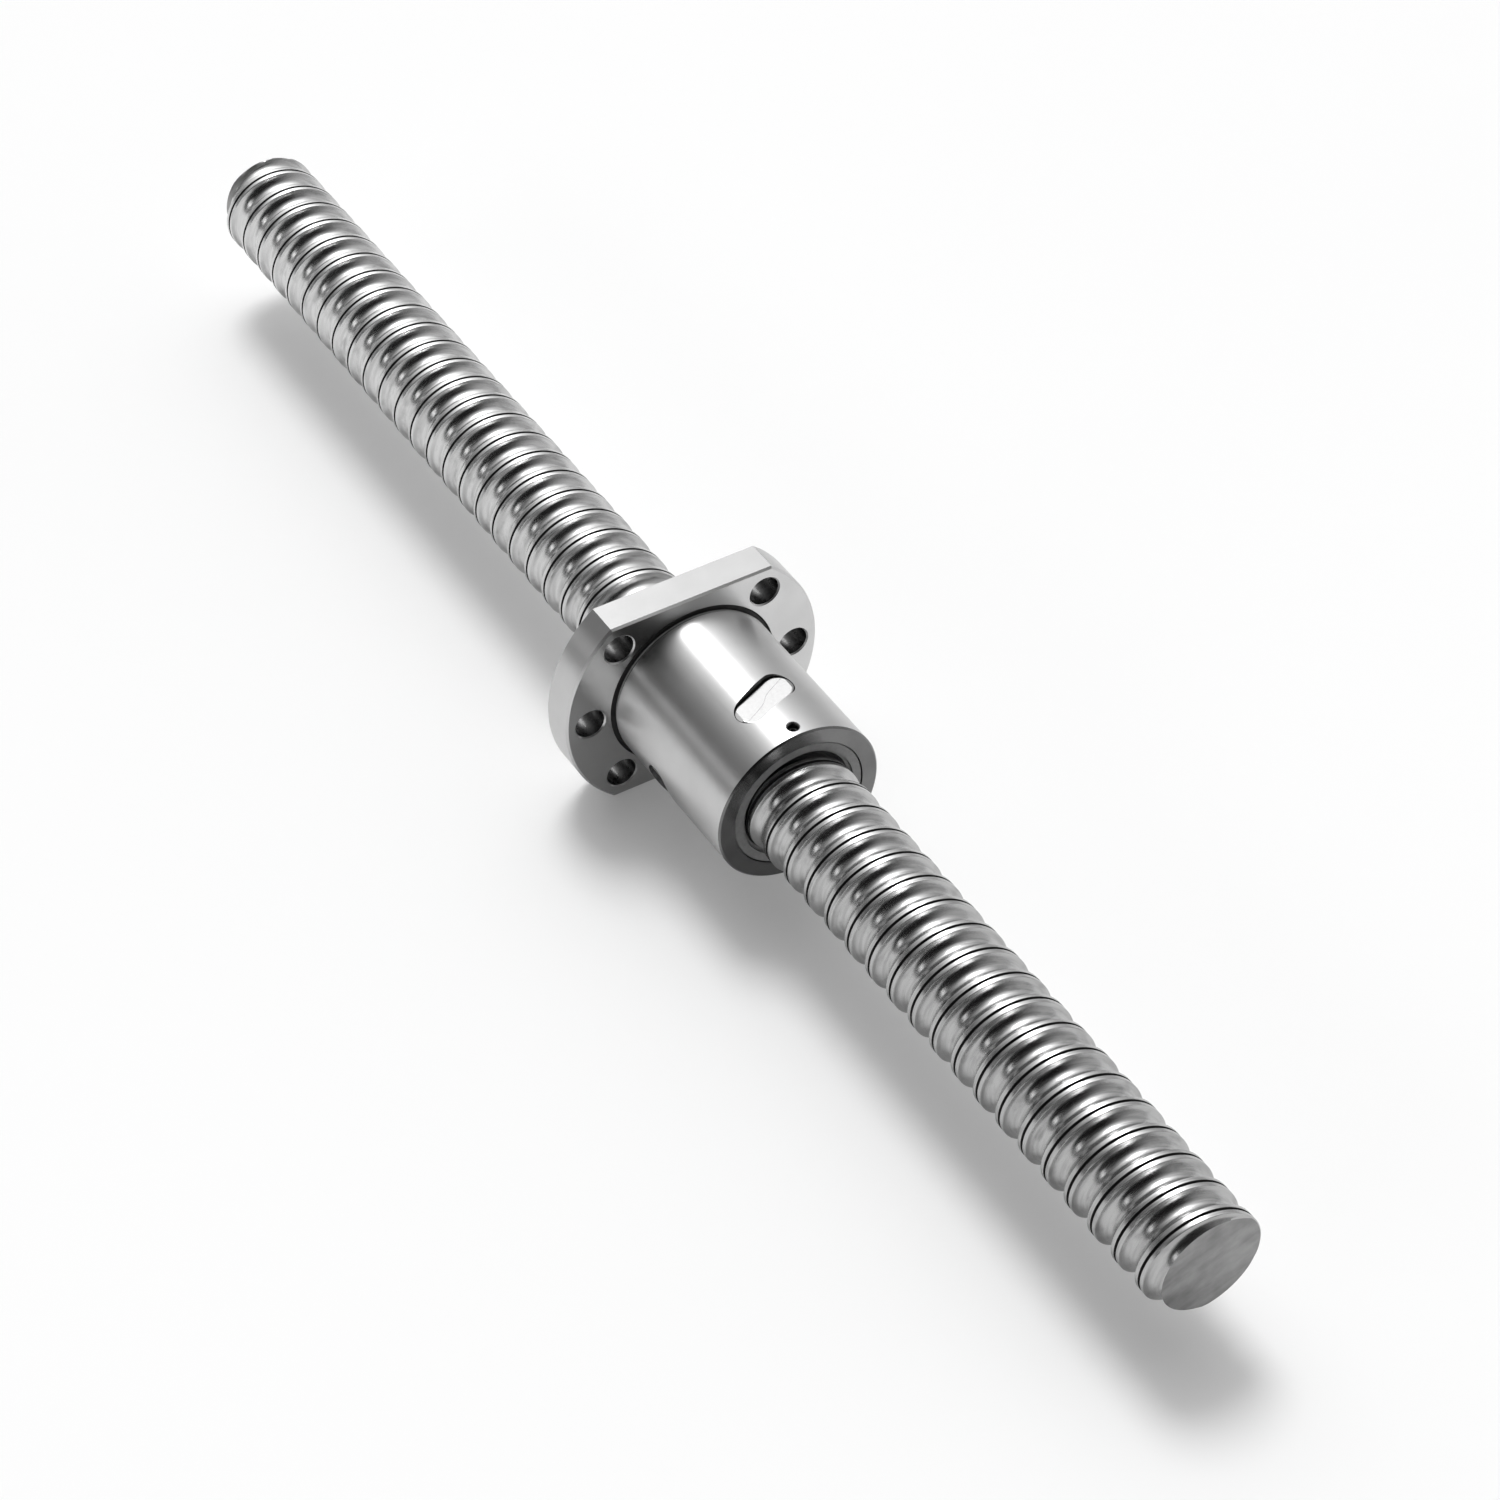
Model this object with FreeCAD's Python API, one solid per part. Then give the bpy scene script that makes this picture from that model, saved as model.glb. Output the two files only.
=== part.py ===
import FreeCAD, Part
import math
import os

from FreeCAD import Placement, Rotation, Vector

# Ball screw with a flanged nut, in millimetres.
# X runs along the shaft, from the flange towards the nut's free end, and Z is up.
# The origin is on the shaft's axis, in the flange's mounting face.
# Angles are counted about X from +Y towards +Z. The thread is left-hand: it runs back along X as they grow.

# Thread and balls
SHAFT_DIAMETER = 32.0
LEAD = 10.0
BALL_DIAMETER = 6.35
BALL_ABOVE_LAND = 0.7  # from the shaft's surface out to the balls' centres
TRACK_CLEARANCE = 0.2  # between a ball and each track
TRACK_TOP_X = 2.23  # middle of one turn of the track, at the top
BALL_SPACE = 0.4  # least gap between neighbouring balls

# Shaft
SHAFT_LENGTH = 502.0
SHAFT_FRONT_X = 240.4
SHAFT_REAR_CHAMFER = 1.5
SHAFT_FRONT_EDGE = 0.3

# Ball circuits and their returns
CIRCUITS = ("front", "middle", "rear")
FRONT_RETURN_TURNS = 3.5  # turns of lead from the track's middle at the top to the front return
RETURN_RUN_OUT = 1.0  # of the return's channel past the insert's pocket, at each end
RETURN_SIDE_CLEARANCE = 0.8  # between a crossing ball and its channel, along the shaft
RETURN_ROOF_CLEARANCE = 0.35  # and outwards
INSERT_LENGTH = 21.0  # also from end to end of the balls' way across the land
INSERT_SIDE_WALL = 0.6
INSERT_ROOF = 0.35  # over the crossing channel
INSERT_SINK = 1.75  # of the insert's flat top below the nut's surface
INSERT_CLEARANCE = 0.1
INSERT_END_SINK = 0.1  # of the insert's ends below the nut's surface
INSERT_EDGE = 0.8  # round edge of the insert's top

# Nut
NUT_BORE_CLEARANCE = 0.9  # between the shaft's surface and the nut's lands
NUT_END_CHAMFER = 0.5
TRACK_END_MARGIN = 2.45  # from the front ball circuit to the wiper seat
RELIEF_WIDTH = 1.2  # of the ring groove in the corner, along the body and out over the flange's face
RELIEF_DEPTH = 0.5

# Flange
FLANGE_THICKNESS = 10.8
BOLT_CIRCLE_STEP = 7.5  # from the nut's surface out to the bolt circle
FLANGE_RIM = 7.5  # from the bolt circle out to the flange's edge
FLAT_STEP = 6.0  # from the nut's surface out to the flange's two flats
FLANGE_EDGE = 0.6
BOLT_HOLE_DIAMETER = 9.0
BOLT_HOLE_EDGE = 0.4
BOLT_SPREAD = 45.0  # between neighbouring bolts, on each side

# Grease port, in the lower flat
PORT_DIAMETER = 7.0
PORT_DEPTH = 7.5
PORT_EDGE = 0.6
DUCT_DIAMETER = 3.0
DUCT_WALL = 1.5  # between the duct's mouth and the wiper seat

# Wipers
WIPER_GAP = 0.4  # between a wiper's lips and the shaft
WIPER_WALL = 3.6
WIPER_WIDTH = 6.8
WIPER_SINK = 0.2
WIPER_SEAT_CLEARANCE = 0.15
WIPER_MOUTH = 0.9  # depth of the step from a wiper's face in to its lip, both ways
WIPER_LIP = 0.9
WIPER_LIP_HEIGHT = 0.9
WIPER_EDGE = 0.3

# Set screw of the front wiper
SET_SCREW_DIAMETER = 3.0
SET_SCREW_FROM_END = 3.7
SET_SCREW_SINK = 1.6
SET_SCREW_HOLE_CLEARANCE = 0.05
SET_SCREW_HOLE_EDGE = 0.5
SET_SCREW_TIP_DIAMETER = 0.8
SET_SCREW_TIP_CLEARANCE = 0.25
SET_SCREW_SOCKET = 1.5  # across flats
SET_SCREW_SOCKET_DEPTH = 1.3
SET_SCREW_NOTCH = 0.8  # depth of the ring groove in the wiper that takes the tip

# How finely curves are described
THREAD_FACES = 3  # faces per turn
THREAD_SPANS = 4  # curve spans along each face
TRACK_PIECES = 3  # curve spans across the track
CHANNEL_PIECES = 4  # curve spans around the channel
CHANNEL_SPANS = 16  # curve spans along it
LOOP_STEPS = 1440
CROSSING_ROUNDS = 12


def crossing_angle(radius):
    """Half of the arc in which the balls cross a land, with its ends an insert's length apart."""
    angle = 0.0
    for _ in range(CROSSING_ROUNDS):
        along_shaft = LEAD * (0.5 - angle / 360)
        sideways = math.sqrt((INSERT_LENGTH / 2)**2 - along_shaft**2)
        angle = math.degrees(math.asin(sideways / radius))
    return angle


# Places worked out from the sizes above
AXIS = Vector(1, 0, 0)
TOP = 90.0
THROUGH = 5.0  # how far a cutting shape runs past what it cuts
SHAFT_RADIUS = SHAFT_DIAMETER / 2
BALL_RADIUS = BALL_DIAMETER / 2
BALL_CIRCLE_RADIUS = SHAFT_RADIUS + BALL_ABOVE_LAND
TRACK_RADIUS = BALL_RADIUS + TRACK_CLEARANCE
NUT_BORE_RADIUS = SHAFT_RADIUS + NUT_BORE_CLEARANCE
LIFTED_RADIUS = SHAFT_RADIUS + TRACK_RADIUS
CHANNEL_HALF_WIDTH = BALL_RADIUS + RETURN_SIDE_CLEARANCE
CHANNEL_HALF_HEIGHT = BALL_RADIUS + RETURN_ROOF_CLEARANCE
INSERT_TOP = LIFTED_RADIUS + CHANNEL_HALF_HEIGHT + INSERT_ROOF
NUT_RADIUS = INSERT_TOP + INSERT_SINK
INSERT_WIDTH = 2 * (CHANNEL_HALF_WIDTH + INSERT_SIDE_WALL)
RETURN_HALF_ANGLE = crossing_angle(BALL_CIRCLE_RADIUS)
INSERT_TILT = math.asin(LEAD * (1 - RETURN_HALF_ANGLE / 180) / INSERT_LENGTH)  # from the circumference
INSERT_HALF_STRAIGHT = INSERT_LENGTH / 2 - INSERT_WIDTH / 2
POCKET_RADIUS = INSERT_WIDTH / 2 + INSERT_CLEARANCE
POCKET_REACH = INSERT_HALF_STRAIGHT * math.cos(INSERT_TILT) + POCKET_RADIUS
CHANNEL_HALF_ANGLE = math.degrees(math.asin((POCKET_REACH + RETURN_RUN_OUT) / NUT_BORE_RADIUS))
BOLT_CIRCLE_RADIUS = NUT_RADIUS + BOLT_CIRCLE_STEP
FLANGE_RADIUS = BOLT_CIRCLE_RADIUS + FLANGE_RIM
FLAT_HEIGHT = NUT_RADIUS + FLAT_STEP
WIPER_BORE_RADIUS = SHAFT_RADIUS + WIPER_GAP
WIPER_RADIUS = WIPER_BORE_RADIUS + WIPER_WALL
WIPER_SEAT_RADIUS = WIPER_RADIUS + WIPER_SEAT_CLEARANCE
WIPER_SEAT_DEPTH = WIPER_SEAT_CLEARANCE + WIPER_WIDTH + WIPER_SINK
FRONT_RETURN_X = TRACK_TOP_X + FRONT_RETURN_TURNS * LEAD
NUT_FRONT_X = FRONT_RETURN_X + LEAD / 2 + TRACK_RADIUS + TRACK_END_MARGIN + WIPER_SEAT_DEPTH
NUT_REAR_X = -FLANGE_THICKNESS
SHAFT_REAR_X = SHAFT_FRONT_X - SHAFT_LENGTH
SET_SCREW_X = NUT_FRONT_X - SET_SCREW_FROM_END
PORT_X = -FLANGE_THICKNESS / 2
BOLT_ANGLES = [side + step * BOLT_SPREAD for side in (0, 180) for step in (-1, 0, 1)]


def around(x, radius, degrees):
    """Point at a distance from the shaft's axis."""
    turn = math.radians(degrees)
    return Vector(x, radius * math.cos(turn), radius * math.sin(turn))


def turned(points):
    """Solid of revolution about the shaft's axis, from (x, radius) points."""
    corners = [Vector(x, radius, 0) for x, radius in points]
    outline = Part.makePolygon(corners + corners[:1])
    return Part.Face(outline).revolve(Vector(0, 0, 0), AXIS, 360)


def track_x(degrees):
    """Middle of the track at an angle."""
    return TRACK_TOP_X - LEAD * (degrees - TOP) / 360


def along_thread(shape, turns):
    """Copy of a shape, moved along the thread."""
    copy = shape.copy()
    copy.Placement = Placement(Vector(LEAD * turns, 0, 0), Rotation(AXIS, -360 * turns))
    return copy


def thread_curve(point):
    """Path of a point of the XY plane along the thread, over one face's share of a turn."""
    turns = [k / THREAD_SPANS / THREAD_FACES for k in range(THREAD_SPANS + 1)]
    places = [around(point.x + LEAD * turn, point.y, -360 * turn) for turn in turns]
    start = Vector(LEAD, 0, -2 * math.pi * point.y)
    end = Rotation(AXIS, -360 / THREAD_FACES).multVec(start)
    curve = Part.BSplineCurve()
    curve.interpolate(Points=places, Parameters=turns, InitialTangent=start, FinalTangent=end, Scale=False)
    return curve


def arc_poles(centre, half_width, half_height, half_angle, pieces):
    """Poles, weights, knots and their repeats of an arc in the XY plane, about the side of +Y."""
    step = half_angle / pieces
    poles = []
    weights = []
    for k in range(2 * pieces + 1):
        weight = math.cos(step) if k % 2 else 1.0
        angle = k * step - half_angle
        reach = Vector(half_width * math.sin(angle), half_height * math.cos(angle), 0)
        poles.append(centre + reach / weight)
        weights.append(weight)
    return poles, weights, list(range(pieces + 1)), [3] + [2] * (pieces - 1) + [3]


def swept(section, degree, path_of):
    """Surface swept by a curve of the XY plane, where path_of gives the path of each of its poles."""
    poles, weights, knots, repeats = section
    paths = [path_of(pole) for pole in poles]
    grid = [path.getPoles() for path in paths]
    grid_weights = [[weight] * len(grid[0]) for weight in weights]
    surface = Part.BSplineSurface()
    surface.buildFromPolesMultsKnots(
        grid, repeats, paths[0].getMultiplicities(), knots, paths[0].getKnots(),
        False, False, degree, paths[0].Degree, grid_weights,
    )
    return surface


def threaded_core(land_radius, track_side, from_x, to_x):
    """Everything inside a thread's land and track, from before one place to after another.

    track_side is -1 for a track sunk into a shaft, and 1 for one sunk into a bore.
    """
    half_angle = math.acos(track_side * (land_radius - BALL_CIRCLE_RADIUS) / TRACK_RADIUS)
    half_width = TRACK_RADIUS * math.sin(half_angle)
    first_x = track_x(0) + LEAD * (math.floor((from_x - track_x(0)) / LEAD) - 1)
    turns = math.ceil((to_x - first_x) / LEAD) + 1
    centre = Vector(first_x, BALL_CIRCLE_RADIUS, 0)
    near = Vector(first_x - half_width, land_radius, 0)
    far = Vector(first_x + half_width, land_radius, 0)
    after = near + Vector(LEAD, 0, 0)
    track = Part.Arc(near, centre + Vector(0, track_side * TRACK_RADIUS, 0), far)
    land = Part.LineSegment(far, after)
    track_arc = arc_poles(centre, TRACK_RADIUS, track_side * TRACK_RADIUS, half_angle, TRACK_PIECES)
    land_line = [far, after], [1, 1], [0, 1], [2, 2]
    strip = [swept(track_arc, 2, thread_curve).toShape(), swept(land_line, 1, thread_curve).toShape()]
    feet = [Vector(near.x + LEAD * k / THREAD_FACES, 0, 0) for k in range(THREAD_FACES + 1)]
    ramp = Part.makeRuledSurface(thread_curve(near).toShape(), Part.makeLine(feet[1], feet[0]))
    corners = [after] + feet[::-1] + [near]
    wall = [track.toShape(), land.toShape()] + [Part.makeLine(a, b) for a, b in zip(corners, corners[1:])]
    end = [along_thread(ramp, k / THREAD_FACES) for k in range(THREAD_FACES)] + [Part.Face(Part.Wire(wall))]
    faces = [along_thread(face, k / THREAD_FACES) for k in range(turns * THREAD_FACES) for face in strip]
    skin = Part.makeCompound(faces + end + [along_thread(face, turns) for face in end])
    skin.sewShape()
    return Part.makeSolid(skin.Shells[0])


def screw_shaft():
    """Rolled shaft: one chamfered end and one plain cut end."""
    over = SHAFT_RADIUS + THROUGH
    rear = SHAFT_REAR_X + SHAFT_REAR_CHAMFER + THROUGH
    front = SHAFT_FRONT_X - SHAFT_FRONT_EDGE - THROUGH
    blank = turned([
        (SHAFT_REAR_X, 0),
        (SHAFT_REAR_X, SHAFT_RADIUS - SHAFT_REAR_CHAMFER),
        (rear, over),
        (front, over),
        (SHAFT_FRONT_X, SHAFT_RADIUS - SHAFT_FRONT_EDGE),
        (SHAFT_FRONT_X, 0),
    ])
    return threaded_core(SHAFT_RADIUS, -1, SHAFT_REAR_X, SHAFT_FRONT_X).common(blank)


def eased(share):
    """Smooth step from 0 to 1."""
    share = min(max(share, 0.0), 1.0)
    return share * share * (3 - 2 * share)


def loop_point(swing):
    """Ball centre at an angle from the return's middle, with the return at the top and at x = 0.

    In the return a ball climbs over the land's two corners, as far from them as from the track.
    """
    shift = eased((swing / RETURN_HALF_ANGLE + 1) / 2)
    half_width = math.sqrt(TRACK_RADIUS**2 - BALL_ABOVE_LAND**2)
    to_corner = max(half_width - LEAD * min(shift, 1 - shift), 0.0)
    radius = SHAFT_RADIUS + math.sqrt(TRACK_RADIUS**2 - to_corner**2)
    return around(LEAD * (shift - 0.5 - swing / 360), radius, TOP + swing)


def ball_centres():
    """Ball centres of such a circuit, evenly spaced along it."""
    points = [loop_point(360 * k / LOOP_STEPS - 180) for k in range(LOOP_STEPS + 1)]
    lengths = [0.0]
    for here, there in zip(points, points[1:]):
        lengths.append(lengths[-1] + here.distanceToPoint(there))
    count = math.floor(lengths[-1] / (BALL_DIAMETER + BALL_SPACE))
    goals = [lengths[-1] * (ball + 0.5) / count for ball in range(count)]
    return [next(point for point, length in zip(points, lengths) if length >= goal) for goal in goals]


def channel_curve(pole):
    """Path of a point of the channel's section, given by its distances from the ball's centre."""
    steps = range(CHANNEL_SPANS + 1)
    places = []
    for step in steps:
        swing = CHANNEL_HALF_ANGLE * (2 * step / CHANNEL_SPANS - 1)
        centre = loop_point(swing)
        radius = math.hypot(centre.y, centre.z) + pole.y
        places.append(around(centre.x + pole.x, radius, TOP + swing))
    curve = Part.BSplineCurve()
    curve.interpolate(Points=places, Parameters=list(steps))
    return curve


def return_channel():
    """Way of the balls across a land, for a return at the top and at x = 0."""
    section = arc_poles(Vector(0, 0, 0), CHANNEL_HALF_WIDTH, CHANNEL_HALF_HEIGHT, math.pi, CHANNEL_PIECES)
    surface = swept(section, 2, channel_curve)
    ends = [Part.Face(Part.Wire(surface.vIso(step).toShape())) for step in (0, CHANNEL_SPANS)]
    skin = Part.makeCompound([surface.toShape()] + ends)
    skin.sewShape()
    return Part.makeSolid(skin.Shells[0])


def pill(radius, top):
    """Upright prism with round ends about a return at the top and at x = 0."""
    left = Vector(-INSERT_HALF_STRAIGHT, radius, 0)
    right = Vector(INSERT_HALF_STRAIGHT, radius, 0)
    across = Vector(0, -2 * radius, 0)
    outline = Part.Wire([
        Part.makeLine(left, right),
        Part.Arc(right, right + Vector(radius, -radius, 0), right + across).toShape(),
        Part.makeLine(right + across, left + across),
        Part.Arc(left + across, left + Vector(-radius, -radius, 0), left).toShape(),
    ])
    outline.rotate(Vector(0, 0, 0), Vector(0, 0, 1), math.degrees(INSERT_TILT) - TOP)
    bottom = NUT_BORE_RADIUS / 2
    outline.translate(Vector(0, 0, bottom))
    return Part.Face(outline).extrude(Vector(0, 0, top - bottom))


def at_return(shape, circuit):
    """Copy of a shape, moved from the top and x = 0 to a circuit's return."""
    turn = circuit / len(CIRCUITS)
    place = Vector(FRONT_RETURN_X - LEAD * (circuit + turn), 0, 0)
    copy = shape.copy()
    copy.Placement = Placement(place, Rotation(AXIS, 360 * turn))
    return copy


def along_x(radius, from_x, to_x):
    """Cylinder about the shaft's axis."""
    return Part.makeCylinder(radius, to_x - from_x, Vector(from_x, 0, 0), AXIS)


def return_insert(channel):
    """Pill-shaped insert that leads the balls across a land, for a return at the top and at x = 0."""
    inside = along_x(NUT_BORE_RADIUS, -INSERT_LENGTH, INSERT_LENGTH)
    outside = along_x(NUT_RADIUS - INSERT_END_SINK, -INSERT_LENGTH, INSERT_LENGTH)
    block = pill(INSERT_WIDTH / 2, INSERT_TOP)
    rim = [edge for edge in block.Edges if edge.BoundBox.ZMin > INSERT_TOP - INSERT_EDGE]
    return block.makeFillet(INSERT_EDGE, rim).common(outside).cut(inside).cut(channel)


def bolt_hole():
    """Hole through the flange on the shaft's axis, with broken edges."""
    radius = BOLT_HOLE_DIAMETER / 2
    wide = radius + BOLT_HOLE_EDGE + THROUGH
    return turned([
        (NUT_REAR_X - THROUGH, 0),
        (NUT_REAR_X - THROUGH, wide),
        (NUT_REAR_X + BOLT_HOLE_EDGE, radius),
        (-BOLT_HOLE_EDGE, radius),
        (THROUGH, wide),
        (THROUGH, 0),
    ])


def grease_port():
    """Threaded port in the lower flat, with a duct that slants past the rear wiper to the track."""
    radius = PORT_DIAMETER / 2
    mouth = Vector(PORT_X, 0, -FLAT_HEIGHT)
    up = Vector(0, 0, 1)
    bottom = mouth + up * PORT_DEPTH
    end = Vector(NUT_REAR_X + WIPER_SEAT_DEPTH + DUCT_WALL + DUCT_DIAMETER, 0, -BALL_CIRCLE_RADIUS)
    slant = end - bottom
    port = Part.makeCylinder(radius, PORT_DEPTH, mouth, up)
    edge = Part.makeCone(radius + 2 * PORT_EDGE, radius, 2 * PORT_EDGE, mouth - up * PORT_EDGE, up)
    duct = Part.makeCylinder(DUCT_DIAMETER / 2, slant.Length, bottom, slant)
    return [port, edge, duct]


def set_screw_hole():
    """Hole down to the front wiper, with a broken edge."""
    radius = SET_SCREW_DIAMETER / 2
    up = Vector(0, 0, 1)
    hole = Part.makeCylinder(radius, NUT_RADIUS, Vector(SET_SCREW_X, 0, 0), up)
    edge_foot = Vector(SET_SCREW_X, 0, NUT_RADIUS - SET_SCREW_HOLE_EDGE)
    edge = Part.makeCone(radius, radius + 2 * SET_SCREW_HOLE_EDGE, 2 * SET_SCREW_HOLE_EDGE, edge_foot, up)
    return [hole, edge]


def between_flats():
    """Everything between the flange's two flats, with their edges broken."""
    shoulder = FLAT_HEIGHT - FLANGE_EDGE
    upper = [
        (NUT_REAR_X, shoulder),
        (NUT_REAR_X + FLANGE_EDGE, FLAT_HEIGHT),
        (-FLANGE_EDGE, FLAT_HEIGHT),
        (0, shoulder),
        (NUT_FRONT_X, shoulder),
    ]
    outline = upper + [(x, -z) for x, z in reversed(upper)]
    corners = [Vector(x, -FLANGE_RADIUS, z) for x, z in outline]
    return Part.Face(Part.makePolygon(corners + corners[:1])).extrude(Vector(0, 2 * FLANGE_RADIUS, 0))


def nut_body(channel):
    """Nut and flange in one piece, with the track and every seat, pocket and hole."""
    body = turned([
        (NUT_REAR_X, 0),
        (NUT_REAR_X, FLANGE_RADIUS - FLANGE_EDGE),
        (NUT_REAR_X + FLANGE_EDGE, FLANGE_RADIUS),
        (-FLANGE_EDGE, FLANGE_RADIUS),
        (0, FLANGE_RADIUS - FLANGE_EDGE),
        (0, NUT_RADIUS + RELIEF_WIDTH),
        (-RELIEF_DEPTH, NUT_RADIUS + RELIEF_WIDTH - RELIEF_DEPTH),
        (-RELIEF_DEPTH, NUT_RADIUS - RELIEF_DEPTH),
        (RELIEF_WIDTH, NUT_RADIUS - RELIEF_DEPTH),
        (RELIEF_WIDTH, NUT_RADIUS),
        (NUT_FRONT_X - NUT_END_CHAMFER, NUT_RADIUS),
        (NUT_FRONT_X, NUT_RADIUS - NUT_END_CHAMFER),
        (NUT_FRONT_X, 0),
    ])
    body = body.common(between_flats())
    body = body.cut(threaded_core(NUT_BORE_RADIUS, 1, NUT_REAR_X, NUT_FRONT_X))
    cuts = [
        along_x(WIPER_SEAT_RADIUS, NUT_REAR_X - THROUGH, NUT_REAR_X + WIPER_SEAT_DEPTH),
        along_x(WIPER_SEAT_RADIUS, NUT_FRONT_X - WIPER_SEAT_DEPTH, NUT_FRONT_X + THROUGH),
    ]
    cuts += set_screw_hole()
    cuts += [bolt_hole().translated(around(0, BOLT_CIRCLE_RADIUS, angle)) for angle in BOLT_ANGLES]
    cuts += grease_port()
    for circuit in range(len(CIRCUITS)):
        cuts.append(at_return(pill(POCKET_RADIUS, NUT_RADIUS), circuit))
        cuts.append(at_return(channel, circuit))
    for cut in cuts:
        body = body.cut(cut)
    return body


def wiper():
    """Front wiper: a ring with a sunk lip at each end and a ring groove for the set screw's tip."""
    rear = NUT_FRONT_X - WIPER_SINK - WIPER_WIDTH
    front = NUT_FRONT_X - WIPER_SINK
    mouth = WIPER_BORE_RADIUS + WIPER_MOUTH
    recess = WIPER_BORE_RADIUS + WIPER_LIP_HEIGHT
    front_lip = front - WIPER_MOUTH
    rear_lip = rear + WIPER_MOUTH
    notch_floor = SET_SCREW_TIP_DIAMETER / 2 + SET_SCREW_TIP_CLEARANCE
    notch_mouth = notch_floor + SET_SCREW_NOTCH
    return turned([
        (rear, mouth),
        (rear, WIPER_RADIUS - WIPER_EDGE),
        (rear + WIPER_EDGE, WIPER_RADIUS),
        (SET_SCREW_X - notch_mouth, WIPER_RADIUS),
        (SET_SCREW_X - notch_floor, WIPER_RADIUS - SET_SCREW_NOTCH),
        (SET_SCREW_X + notch_floor, WIPER_RADIUS - SET_SCREW_NOTCH),
        (SET_SCREW_X + notch_mouth, WIPER_RADIUS),
        (front - WIPER_EDGE, WIPER_RADIUS),
        (front, WIPER_RADIUS - WIPER_EDGE),
        (front, mouth),
        (front_lip, mouth),
        (front_lip, WIPER_BORE_RADIUS),
        (front_lip - WIPER_LIP, WIPER_BORE_RADIUS),
        (front_lip - WIPER_LIP - WIPER_LIP_HEIGHT, recess),
        (rear_lip + WIPER_LIP + WIPER_LIP_HEIGHT, recess),
        (rear_lip + WIPER_LIP, WIPER_BORE_RADIUS),
        (rear_lip, WIPER_BORE_RADIUS),
        (rear_lip, mouth),
    ])


def wiper_set_screw():
    """Headless screw with a cone point and a hexagon socket."""
    radius = SET_SCREW_DIAMETER / 2 - SET_SCREW_HOLE_CLEARANCE
    tip_radius = SET_SCREW_TIP_DIAMETER / 2
    tip = WIPER_RADIUS - SET_SCREW_NOTCH + SET_SCREW_TIP_CLEARANCE
    shoulder = tip + radius - tip_radius
    top = NUT_RADIUS - SET_SCREW_SINK
    up = Vector(0, 0, 1)
    screw = Part.makeCone(tip_radius, radius, shoulder - tip, Vector(SET_SCREW_X, 0, tip), up)
    screw = screw.fuse(Part.makeCylinder(radius, top - shoulder, Vector(SET_SCREW_X, 0, shoulder), up))
    corner = SET_SCREW_SOCKET / math.sqrt(3)
    floor = top - SET_SCREW_SOCKET_DEPTH
    corners = [around(0, corner, 60 * k) for k in range(6)]
    hexagon = Part.makePolygon([Vector(SET_SCREW_X + p.y, p.z, floor) for p in corners + corners[:1]])
    return screw.cut(Part.Face(hexagon).extrude(up * (top - floor)))


def build():
    """All pieces, by name."""
    channel = return_channel()
    insert = return_insert(channel)
    front_wiper = wiper()
    ring_middle = Vector(NUT_FRONT_X - WIPER_SINK - WIPER_WIDTH / 2, 0, 0)
    rear_wiper = front_wiper.mirror(ring_middle, AXIS)
    rear_wiper.translate(Vector(NUT_REAR_X + WIPER_SINK + WIPER_WIDTH / 2, 0, 0) - ring_middle)
    pieces = {
        "screw_shaft": screw_shaft(),
        "nut_body": nut_body(channel),
        "wiper_front": front_wiper,
        "wiper_rear": rear_wiper,
        "wiper_set_screw": wiper_set_screw(),
    }
    centres = ball_centres()
    for circuit, name in enumerate(CIRCUITS):
        pieces["return_insert_" + name] = at_return(insert, circuit)
        for number, centre in enumerate(centres, 1):
            ball = Part.makeSphere(BALL_RADIUS, centre)
            pieces[f"ball_{name}_{number:02d}"] = at_return(ball, circuit)
    return pieces


if __name__ == "__main__":
    os.makedirs("parts", exist_ok=True)
    for name, shape in build().items():
        shape.exportStep(f"parts/{name}.step")
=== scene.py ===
import math
from collections import Counter

import bmesh
import bpy
import numpy as np
from mathutils import Matrix, Vector


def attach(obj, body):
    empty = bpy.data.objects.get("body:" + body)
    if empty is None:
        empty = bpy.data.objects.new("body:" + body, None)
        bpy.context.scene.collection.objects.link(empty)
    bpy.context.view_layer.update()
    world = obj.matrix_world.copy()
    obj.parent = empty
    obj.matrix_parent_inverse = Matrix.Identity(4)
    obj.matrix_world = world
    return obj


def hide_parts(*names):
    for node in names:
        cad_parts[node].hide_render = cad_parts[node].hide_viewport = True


# Sizes in millimetres, as in the solids. X runs along the shaft, Z is up.
MM = 0.001
LEAD = 10.0
SHAFT_RADIUS = 16.0
TRACK_RADIUS = 3.375
BALL_CIRCLE_RADIUS = 16.7
TRACK_TOP_X = 2.23  # middle of the track where it passes over the top
SHAFT_FRONT_X = 240.4
SHAFT_REAR_X = -261.6
SHAFT_FRONT_EDGE = 0.3
SHAFT_REAR_CHAMFER = 1.5
LAND_EDGE = 0.15  # radius of the land's round edges
SEAM_WIDTH = 0.9
SEAM_DEPTH = 0.45
NUT_RADIUS = 25.0
NUT_FRONT_X = 55.205
NUT_END_CHAMFER = 0.5
FLAT_Z = 31.0
RELIEF_WIDTH = 1.2
RELIEF_DEPTH = 0.5
WIPER_SEAT_RADIUS = 20.15
BOLT_CIRCLE_RADIUS = 32.5
BOLT_HOLE_RADIUS = 4.5
BOLT_HOLE_EDGE = 0.4
BOLT_ANGLES = (-45, 0, 45, 135, 180, 225)
NOTCH_END_X = 5.0  # where the cones of the bolt holes' edges end, in front of the flange
FRONT_INSERT_X = 37.23
INSERT_TOP = 23.25
INSERT_COUNT = 3
LINE_HALF_LENGTH = 7.9
LINE_SLANT = 0.5
LINE_SWING = 0.9
LINE_TURN = 1.5
LINE_RADIUS = 0.05
FLOOR_Z = -31.0

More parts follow.
